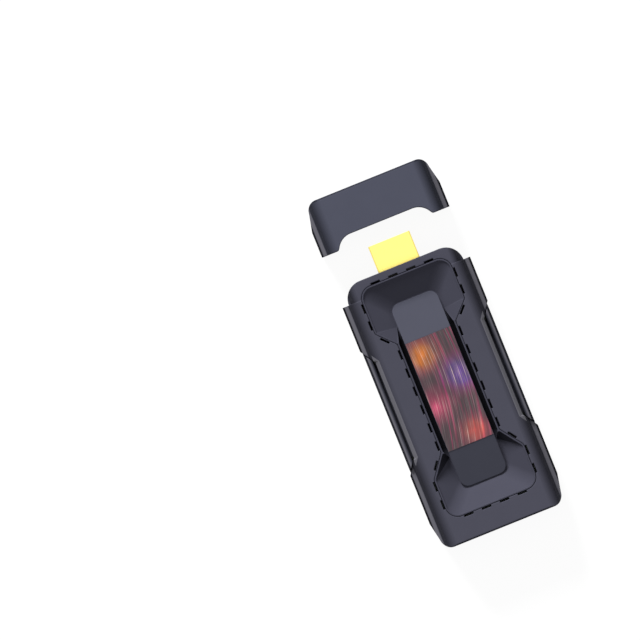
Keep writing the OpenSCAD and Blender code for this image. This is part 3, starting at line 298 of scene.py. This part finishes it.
def grained(tree, shader, colour, roughness, grain_size, grain_depth,
            spread=0.05, wear=0.0, edge_radius=0.4):
    """Feeds a shader with grain: roughness and bump. Returns the colour, which changes a little too."""
    grain = add(tree, "ShaderNodeGroup", node_tree=grain_group)
    grain.inputs["Grain Size"].default_value = grain_size
    patches = grain.outputs["Patches"]
    shade = mix_colours(tree, patches, times(colour, 1 - spread), times(colour, 1 + spread))
    rounded = None
    if wear:
        edge = add(tree, "ShaderNodeGroup", node_tree=edge_group)
        edge.inputs["Radius"].default_value = edge_radius * MM
        edge.inputs["Wear"].default_value = wear
        rounded = edge.outputs["Normal"]
        shade = mix_colours(tree, edge.outputs["Mask"], shade, times(colour, 1.6))
    rough = stretched(tree, patches, 0.0, 1.0, roughness - 0.06, roughness + 0.06)
    tree.links.new(rough, shader.inputs["Roughness"])
    tree.links.new(raised(tree, grain.outputs["Height"], grain_depth, rounded), shader.inputs["Normal"])
    tree.links.new(shade, shader.inputs["Base Color"])
    return shade


print("a colour made half as bright:", [round(v, 3) for v in times(linear(128, 128, 128), 0.5)])


# %% [markdown]
# ## One function for the plastics
# The shells, the tray, the bar and the side panels are the same kind of plastic in slightly different
# shades, matt to the touch. One function builds them all from a colour, a roughness and a depth of
# grain. A list of places with amounts then darkens the colour as painted shade, where less light falls,
# and on the bevels a paler colour is painted as a highlight under a thin coat of gloss. Separate
# materials could do this too, but a piece would have to be cut up for them.

# %% Plastic with painted shade, painted highlights and gloss
# The coat of gloss is real; the paler colour of a coated bevel is a painted highlight for its reflection.
GLOSS = 0.3                             # weight of the coat on a polished bevel
PAINTED_HIGHLIGHT_COLOUR = linear(99, 98, 106)     # what a polished bevel shows of its surroundings


def plastic(name, colour, roughness=0.82, grain_size=0.16, grain_depth=0.006, wear=0.35, edge_radius=0.4,
            painted_shade=(), coated_and_highlit=()):
    """Moulded plastic, darkened in places as painted shade, with gloss and a painted highlight on others.
    """
    material, tree, shader = new_material(name, specular_ior_level=0.04, coat_roughness=0.3)
    shade = grained(tree, shader, colour, roughness, grain_size, grain_depth,
                    wear=wear, edge_radius=edge_radius)
    place = add(tree, "ShaderNodeGroup", node_tree=place_group)
    # Painted shade: each place is darkened by its amount, as shade would fall there.
    for amount, limits in painted_shade:
        shade = mix_colours(tree, inside(tree, place, **limits), shade, times(colour, amount))
    shine = None
    # Painted highlight: each coated place is painted paler, and it also gets the coat of gloss.
    for limits in coated_and_highlit:
        mask = inside(tree, place, **limits)
        shade = mix_colours(tree, mask, shade, PAINTED_HIGHLIGHT_COLOUR)
        shine = mask if shine is None else calc(tree, "MAXIMUM", shine, mask)
    if coated_and_highlit:
        tree.links.new(calc(tree, "MULTIPLY", shine, GLOSS), shader.inputs["Coat Weight"])
    tree.links.new(shade, shader.inputs["Base Color"])
    return material


print("a polished bevel has a coat of", GLOSS)


# %% [markdown]
# ## Painted highlights and painted shade
# The slanted rails along the sides, the rims of the side panels and the bevels of the notches get a
# coat of gloss and a painted highlight. The steep sides, the turned ends of the case and the cap, the
# walls of the notches and the backs of the panels get painted shade, and the gaps beside the bar and
# the wedges of the tray are painted dark as shade where hardly any light reaches. Each place is a few
# limits, in millimetres from the middle of the back, and both sides share them, because the case is
# the same left and right.

# %% Named places
# rails, notch_bevels and panel_rims get the painted highlight; every other place here gets painted shade.
rails = dict(Across=(19.75, 20.9, 0.3), Height=(7.9, 12), Up=(0.5, 0.95))
outer_turns = dict(Across=(20.8, 22, 0.2), Height=(7.8, 9), Up=(0.3, 0.95))
steep_sides = dict(Across=(14.0, 22), Side=(0.47, 2, 0.94), Height=(8.6, 16, 0.6))
tail_turn = dict(Along=(-46, -43.7, 0.2), Height=(14.6, 15.6), Up=(0.05, 0.98))
cap_turn = dict(Along=(72.1, 74, 0.2), Height=(14.6, 15.6), Up=(0.05, 0.98))
panel_rims = dict(Across=(19.75, 20.85, 0.4), Height=(7.9, 16), Up=(0.5, 0.95))
panel_backs = dict(Across=(18.5, 19.45, 0.3), Height=(7.9, 16))
panel_turns = dict(Across=(20.3, 22), Height=(7.9, 10.1), Up=(0.2, 0.6))
notch_bevels = dict(Across=(17.1, 22), Notch=(-99, 1.8), Height=(13.4, 15.6), Up=(0.3, 0.9))
notch_walls = dict(Across=(17.1, 22), Notch=(-99, 0.3), Height=(8, 15.6), Up=(-1, 0.3))
bar_gaps = dict(Across=(7.4, 9.3), Along=(-16.5, 24, 4), Height=(10, 15))
low_wedges = dict(Up=(0.4, 0.62), Along=(-26, -12))
low_wedge_tips = dict(Up=(0.4, 0.62), Along=(-18.5, -12, 4))
high_wedges = dict(Up=(0.7, 0.8), Along=(18, 30))
print("the rails lie", rails["Across"][:2], "mm across, at both sides")


# %% [markdown]
# ## The plastics
# Compared in the photo, the cap is the palest of the dark greys and the tray the darkest, with a touch
# of blue in all of them. The bar is smoother than the rest. The plastic inside the connectors is
# black, shinier, and never rubbed.

# %% Plastic finishes
# Each amount darkens its place as painted shade, and the coated places get a painted highlight over their
# gloss.
finishes = {
    "case_plastic": plastic(
        "case_plastic", linear(75, 75, 87), coated_and_highlit=[rails, notch_bevels],
        painted_shade=[(0.4, steep_sides), (0.12, outer_turns), (0.25, notch_walls), (0.5, tail_turn)]),
    "cap_plastic": plastic(
        "cap_plastic", linear(79, 81, 95), coated_and_highlit=[rails],
        painted_shade=[(0.4, steep_sides), (0.12, outer_turns), (0.4, cap_turn)]),
    "tray_plastic": plastic(
        "tray_plastic", linear(69, 69, 81), edge_radius=0.3,
        painted_shade=[(0.1, bar_gaps), (0.45, low_wedges), (0.25, low_wedge_tips), (0.75, high_wedges)]),
    "bar_plastic": plastic("bar_plastic", linear(75, 76, 88), 0.75, grain_depth=0.003, edge_radius=0.3),
    "panel_plastic": plastic(
        "panel_plastic", linear(70, 71, 82), coated_and_highlit=[panel_rims],
        painted_shade=[(0.42, panel_backs), (0.3, panel_turns)]),
    "connector_plastic": plastic("connector_plastic", linear(34, 34, 36), 0.5, wear=0.0),
}
print("plastics:", sorted(finishes))


# %% [markdown]
# ## Metals
# The plug's shell is brass with gold plating, a pale lemon in the photo. The port shells are nickel
# plated steel, and the heat sink is aluminium sheet, anodised black. Rolled sheet has fine lines along
# one direction, so noise that is stretched along one axis gives both its roughness and its bump. Where
# a shell goes into the case its plating is duller, and limits darken it further as painted shade,
# because no light reaches it there.

# %% Metal finishes
GOLD = linear(252, 230, 126)
# The colour of a shell inside the case: duller plating, darkened further as painted shade.
DULL_SHADED_METAL = linear(40, 39, 38)


def metal(name, colour, roughness, line_length=6.0, line_width=0.05, depth=0.0012, dull_and_shaded=None):
    """Plated or rolled sheet metal with fine lines along Y. Limits may say where it is duller and darkened
    as painted shade.
    """
    material, tree, shader = new_material(name, metallic=1.0)
    stretch = add(tree, "ShaderNodeMapping")
    thin, long = 1 / (line_width * MM), 1 / (line_length * MM)
    stretch.inputs["Scale"].default_value = (thin, long, thin)
    tree.links.new(add(tree, "ShaderNodeTexCoord").outputs["Object"], stretch.inputs["Vector"])
    lines = noise(tree, stretch.outputs["Vector"], 1.0, 4.0)
    grain = add(tree, "ShaderNodeGroup", node_tree=grain_group)
    grain.inputs["Patch Size"].default_value = 3.0
    shade = mix_colours(tree, grain.outputs["Patches"], times(colour, 0.95), colour)
    # Painted shade with duller plating: the part of a shell inside the case goes dark.
    if dull_and_shaded:
        place = add(tree, "ShaderNodeGroup", node_tree=place_group)
        shade = mix_colours(tree, inside(tree, place, **dull_and_shaded), shade, DULL_SHADED_METAL)
    tree.links.new(shade, shader.inputs["Base Color"])
    rough = stretched(tree, lines, 0.0, 1.0, roughness - 0.08, roughness + 0.08)
    tree.links.new(rough, shader.inputs["Roughness"])
    tree.links.new(raised(tree, lines, depth), shader.inputs["Normal"])
    return material


finishes["gold_plate"] = metal("gold_plate", GOLD, 0.3)
# Inside the case both shells are darkened: duller plating, and painted shade.
finishes["plug_shell"] = metal("plug_shell", GOLD, 0.3, dull_and_shaded=dict(Along=(-99, 44)))
finishes["shield_steel"] = metal("shield_steel", linear(205, 206, 210), 0.32, dull_and_shaded=dict(Across=(-1, 17.5)))
finishes["sink_aluminium"] = metal("sink_aluminium", linear(42, 42, 46), 0.55, line_width=0.12, depth=0.003)
print("metals:", [name for name in finishes if "plastic" not in name])


# %% [markdown]
# ## The board
# Opened up, the stick shows a board of green laminate with copper tracks under the lacquer. An image
# of a real board could be laid over it, but then it would need a UV map. A brick pattern with thin
# joints is enough: the joints are the tracks, a little paler and raised.

# %% Board laminate with tracks
def laminate(name, green, track):
    """Glass fibre laminate: faint tracks run under the lacquer, from a brick pattern with thin joints."""
    material, tree, shader = new_material(name, coat_weight=0.5, coat_roughness=0.25)
    place = add(tree, "ShaderNodeTexCoord").outputs["Object"]
    tracks = add(tree, "ShaderNodeTexBrick", {"Scale": 1.0, "Mortar Size": 0.16 * MM, "Mortar Smooth": 0.3,
                                              "Brick Width": 3.1 * MM, "Row Height": 0.9 * MM})
    tree.links.new(place, tracks.inputs["Vector"])
    weave = noise(tree, place, 1 / (0.4 * MM))
    base = mix_colours(tree, weave, times(green, 0.85), times(green, 1.15))
    tree.links.new(mix_colours(tree, tracks.outputs["Fac"], base, track), shader.inputs["Base Color"])
    tree.links.new(stretched(tree, weave, 0.0, 1.0, 0.35, 0.5), shader.inputs["Roughness"])
    tree.links.new(raised(tree, tracks.outputs["Fac"], 0.02), shader.inputs["Normal"])
    return material


finishes["board_laminate"] = laminate("board_laminate", linear(26, 84, 58), linear(52, 112, 74))
print("board finish made")


# %% [markdown]
# ## Chips, coils, ceramic and pads
# On the board sit black chips, grey ferrite coils and tan ceramic blocks, with pale blue silicone pads
# between the chips and the heat sink. None of it shows from outside, but the pieces are there when the
# cover comes off. They differ only in colour, roughness and grain, so a loop makes them from a table.

# %% Finishes from a table
for name, shade, rough, size, depth in (
        ("chip_black", (38, 38, 40), 0.6, 0.1, 0.006),
        ("ferrite", (70, 70, 72), 0.7, 0.25, 0.012),
        ("ceramic", (170, 148, 112), 0.35, 0.12, 0.003),
        ("thermal_pad", (158, 172, 196), 0.8, 0.3, 0.02)):
    material, tree, shader = new_material(name, specular_ior_level=0.4)
    grained(tree, shader, linear(*shade), rough, size, depth, spread=0.1)
    finishes[name] = material
print("finishes so far:", len(finishes))


# %% [markdown]
# ## Windows in the tail
# The infrared window is plastic that looks nearly black but lets infrared through, with a wine-red
# tint. The light pipe beside it is clear plastic, frosted so that the status light spreads out.

# %% Window and light pipe
material, tree, shader = new_material("window_plastic", coat_weight=0.6, coat_roughness=0.1)
grained(tree, shader, linear(46, 22, 30), 0.2, 0.5, 0.001, spread=0.15)
finishes["window_plastic"] = material
material, tree, shader = new_material("light_clear", transmission_weight=0.85, ior=1.49)
grained(tree, shader, linear(232, 238, 244), 0.35, 0.2, 0.003)
finishes["light_clear"] = material
print("windows made, finishes:", len(finishes))


# %% [markdown]
# ## The printed film
# The label is a printed film under a smooth varnish: a charcoal ground with trails of light over soft
# glows of orange, violet and pink, as a long exposure of a road at night shows them. The distance from
# a point far to the left gives wide arcs, and noise in one dimension turns that into trails, broad
# ones and fine ones. Other noise lets each trail brighten and fade along its way. There are no letters.

# %% Glows and trails
FILM_HEIGHT = 15.3                      # in mm above the flat back
GLOWS = (                               # spot and reach in mm, and colour
    ((-4.0, 15.0), 9.0, (236, 132, 44)),
    ((5.0, 6.0), 10.0, (118, 70, 176)),
    ((-6.0, -1.0), 9.0, (224, 62, 118)),
    ((2.5, -12.5), 8.0, (232, 96, 88)))


def glow_around(tree, place, spot, reach):
    """1 at a spot on the label, given in millimetres, fading to 0 at its reach."""
    gap = add(tree, "ShaderNodeVectorMath", operation="DISTANCE")
    tree.links.new(place, gap.inputs[0])
    gap.inputs[1].default_value = (spot[0] * MM, spot[1] * MM, FILM_HEIGHT * MM)
    fade = stretched(tree, gap.outputs["Value"], 0.0, reach * MM, 1.0, 0.0)
    return calc(tree, "MULTIPLY", fade, fade)


def trails_of_light(tree, place, arc, width, low, high, length):
    """Trails along the arcs: their width and how long they stay lit, in mm, and which noise shows."""
    lines = stretched(tree, noise(tree, arc, 1 / (width * MM), 2.0, noise_dimensions="1D"), low, high)
    spot = add(tree, "ShaderNodeSeparateXYZ")
    tree.links.new(place, spot.inputs[0])
    stretch = add(tree, "ShaderNodeCombineXYZ")
    tree.links.new(calc(tree, "DIVIDE", arc, 2.5 * width * MM), stretch.inputs["X"])
    tree.links.new(calc(tree, "DIVIDE", spot.outputs["Y"], length * MM), stretch.inputs["Y"])
    breaks = stretched(tree, noise(tree, stretch.outputs["Vector"], 1.0, 1.0), 0.38, 0.66)
    return calc(tree, "MULTIPLY", lines, breaks, True)


print("glows on the film:", len(GLOWS))


# %% [markdown]
# ## The film's ink
# Each glow tints the ink around its spot, and the brightest glow at a point decides how much ink shows
# there. The ground is a warm charcoal with paler fine trails, the broad trails add ink, and where fine
# trails cross a glow or a broad trail they turn nearly white, like headlights.

# %% Label print
ARC_MIDDLE = (-110, 12, 15)             # in mm, the point that all the trails go around
ARC_SHIFT = 0.37                        # picks the part of the noise that the trails are taken from
INK = linear(206, 58, 118)              # away from the glows
GROUND, FINE_TRAIL = linear(58, 54, 56), linear(126, 112, 114)
SPARK = linear(252, 222, 206)           # where a fine trail crosses something bright


def label_print(name):
    """Ink on a varnished film, from the glows and two kinds of trails."""
    material, tree, shader = new_material(name, coat_weight=0.3, coat_roughness=0.2, specular_ior_level=0.1)
    place = add(tree, "ShaderNodeTexCoord").outputs["Object"]
    reach = add(tree, "ShaderNodeVectorMath", operation="DISTANCE")
    tree.links.new(place, reach.inputs[0])
    reach.inputs[1].default_value = [v * MM for v in ARC_MIDDLE]
    arc = calc(tree, "ADD", reach.outputs["Value"], ARC_SHIFT)
    broad = trails_of_light(tree, place, arc, width=1.1, low=0.5, high=0.78, length=14)
    fine = trails_of_light(tree, place, arc, width=0.34, low=0.46, high=0.8, length=9)
    ink, lit = INK, None
    for spot, size, shade in GLOWS:
        mask = glow_around(tree, place, spot, size)
        ink = mix_colours(tree, calc(tree, "MULTIPLY", mask, 2.2, True), ink, linear(*shade))
        lit = mask if lit is None else calc(tree, "MAXIMUM", lit, mask)
    clouds = stretched(tree, noise(tree, place, 1 / (6 * MM), 1.0), 0.35, 0.7, 0.45, 1.1)
    haze = calc(tree, "ADD", calc(tree, "MULTIPLY", calc(tree, "MULTIPLY", lit, clouds), 0.85), 0.02)
    ground = mix_colours(tree, fine, GROUND, FINE_TRAIL)
    strength = calc(tree, "ADD", haze, calc(tree, "MULTIPLY", broad, 0.65), True)
    shade = mix_colours(tree, strength, ground, ink)
    sparks = calc(tree, "MULTIPLY", calc(tree, "MULTIPLY", fine, calc(tree, "ADD", broad, lit)), 0.8, True)
    tree.links.new(mix_colours(tree, sparks, shade, SPARK), shader.inputs["Base Color"])
    grain = add(tree, "ShaderNodeGroup", node_tree=grain_group)
    rough = stretched(tree, grain.outputs["Patches"], 0.0, 1.0, 0.4, 0.55)
    tree.links.new(rough, shader.inputs["Roughness"])
    tree.links.new(raised(tree, grain.outputs["Height"], 0.001), shader.inputs["Normal"])
    return material


finishes["label_print"] = label_print("label_print")
print("label print made")


# %% [markdown]
# ## Finishes onto the CAD pieces
# The record names a material slot for every node, so the finishes are handed out from there. The cap
# is moulded apart from the case and is a shade paler, and the plug's shell has its own plating.

# %% Assign the finishes
slots = {part["node"]: part["material_slot"] for part in frame["record"]["subparts"]}
slots.update(cap="cap_plastic", video_plug_shell="plug_shell")
for name, piece in nodes.items():
    for place in piece.material_slots:
        place.material = finishes[slots[name]]
print("dressed", len(nodes), "nodes in", len(set(slots.values())), "slots")


# %% [markdown]
# ## Floor and surrounding light
# The photograph has a plain white ground. A plain white floor could stand in for it, but it would
# throw its light up at the dark sides. So the floor answers each kind of ray in its own way: a ray
# from the camera, or one that is mirrored or goes through clear plastic, sees it lifted to white, with
# only a trace of the shadow, and a bounced ray sees a dark grey sheet. The world does the same.

# %% Floor and world
SURROUND = 0.25         # light from all round on a face that looks straight up
FLOOR_BOUNCED = 0.24    # how pale the floor is for a bounced ray
FLOOR_SEEN = 0.12       # how pale it is for a ray that sees it directly
FLOOR_LIFT = 0.93       # what is added for such a ray


def seen_directly(tree):
    """1 for rays from the camera, a gloss or clear plastic, 0 for light bounced off a dull surface."""
    path = add(tree, "ShaderNodeLightPath").outputs
    camera_or_gloss = calc(tree, "MAXIMUM", path["Is Camera Ray"], path["Is Glossy Ray"])
    return calc(tree, "MAXIMUM", camera_or_gloss, path["Is Transmission Ray"])


bpy.ops.mesh.primitive_plane_add(size=6, location=(0, 0, -0.00002))
floor = bpy.context.object
floor.name = "floor"
material, tree, shader = new_material("floor_white", roughness=0.9, specular_ior_level=0.0,
                                      emission_color=(1, 1, 1, 1))
seen = seen_directly(tree)
greys = [(pale, pale, pale, 1) for pale in (FLOOR_BOUNCED, FLOOR_SEEN)]
tree.links.new(mix_colours(tree, seen, *greys), shader.inputs["Base Color"])
tree.links.new(calc(tree, "MULTIPLY", seen, FLOOR_LIFT), shader.inputs["Emission Strength"])
floor.data.materials.append(material)

world = bpy.data.worlds.new("studio")
bpy.context.scene.world = world
world.use_nodes = True
tree = world.node_tree
strength = stretched(tree, seen_directly(tree), 0.0, 1.0, SURROUND, 1.0)
tree.links.new(strength, tree.nodes["Background"].inputs["Strength"])
tree.nodes["Background"].inputs["Color"].default_value = (1, 1, 1, 1)
print("floor and world ready, surroundings at", SURROUND)


# %% [markdown]
# ## Key light
# In the photograph the faces that slope towards the plug are bright and the ones that slope away are
# dark, so the main light stands low beyond the plug, a little to the left. It is a sun lamp with a
# wide disc, which gives the same light everywhere and a soft edge to its shadows.

# %% Sun
KEY = 0.69                          # light from the sun on a face that looks straight up
KEY_HEIGHT = math.radians(25)
KEY_TURN = math.radians(6)
KEY_DISC = math.radians(20)
key_data = bpy.data.lights.new("key", "SUN")
key_data.angle = KEY_DISC
key_data.energy = math.pi * KEY / math.sin(KEY_HEIGHT)
key = bpy.data.objects.new("key", key_data)
bpy.context.scene.collection.objects.link(key)
towards = Vector((-math.sin(KEY_TURN) * math.cos(KEY_HEIGHT), math.cos(KEY_TURN) * math.cos(KEY_HEIGHT),
                  math.sin(KEY_HEIGHT)))
key.rotation_mode = "QUATERNION"
key.rotation_quaternion = towards.to_track_quat("Z", "Y")
print("key light comes from", [round(v, 2) for v in towards])


# %% [markdown]
# ## Soft box
# Deep places in the photograph, such as the tray, are lit evenly from above. The world alone could do
# that, but it would light the steep sides as much. A square lamp overhead reaches into the tray and
# leaves the sides dark. Its power follows from the light that a face below its middle should get.

# %% Soft box overhead
OVERHEAD = 0.12         # light from the soft box on a face that looks straight up
BOX_HEIGHT = 1.0
box_data = bpy.data.lights.new("soft_box", "AREA")
box_data.size = 1.0
half_side = box_data.size / 2 / math.hypot(BOX_HEIGHT, box_data.size / 2)
share = 4 / math.pi * half_side * math.atan(half_side)      # form factor of a square, from below its middle
box_data.energy = OVERHEAD / share * math.pi * box_data.size ** 2
soft_box = bpy.data.objects.new("soft_box", box_data)
soft_box.location = (0, 0, BOX_HEIGHT)
bpy.context.scene.collection.objects.link(soft_box)
print("soft box:", round(box_data.energy, 2), "W")


# %% [markdown]
# ## Camera
# The photograph looks straight down with almost no perspective. The stick lies turned in it, and the
# camera's own turn repeats that. A long lens from three metres keeps the sides of the case out of
# sight. The camera leans by less than half a degree, which shows the sides as wide as the photo does.

# %% Camera
LENS, SENSOR = 538.0, 36                # in mm
DISTANCE = 3.0                          # in metres, as the aim is
AIM = (-0.02948, 0.03739, 0.006)        # the point in the middle of the picture
LEAN = math.radians(0.4)
TURN = math.radians(-22.0)
camera_data = bpy.data.cameras.new("camera")
camera_data.lens = LENS
camera_data.sensor_width = SENSOR
camera_data.clip_end = 10
camera = bpy.data.objects.new("camera", camera_data)
bpy.context.scene.collection.objects.link(camera)
leaning = Matrix.Translation(AIM) @ Matrix.Rotation(LEAN, 4, "Y")
camera.matrix_world = leaning @ Matrix.Rotation(TURN, 4, "Z") @ Matrix.Translation((0, 0, DISTANCE))
bpy.context.scene.camera = camera
print("frame width in mm:", round(SENSOR / LENS * DISTANCE / MM, 1))


# %% [markdown]
# ## Colour
# The Standard view shows colours as they are written.

# %% Finish
bpy.context.scene.view_settings.view_transform = "Standard"
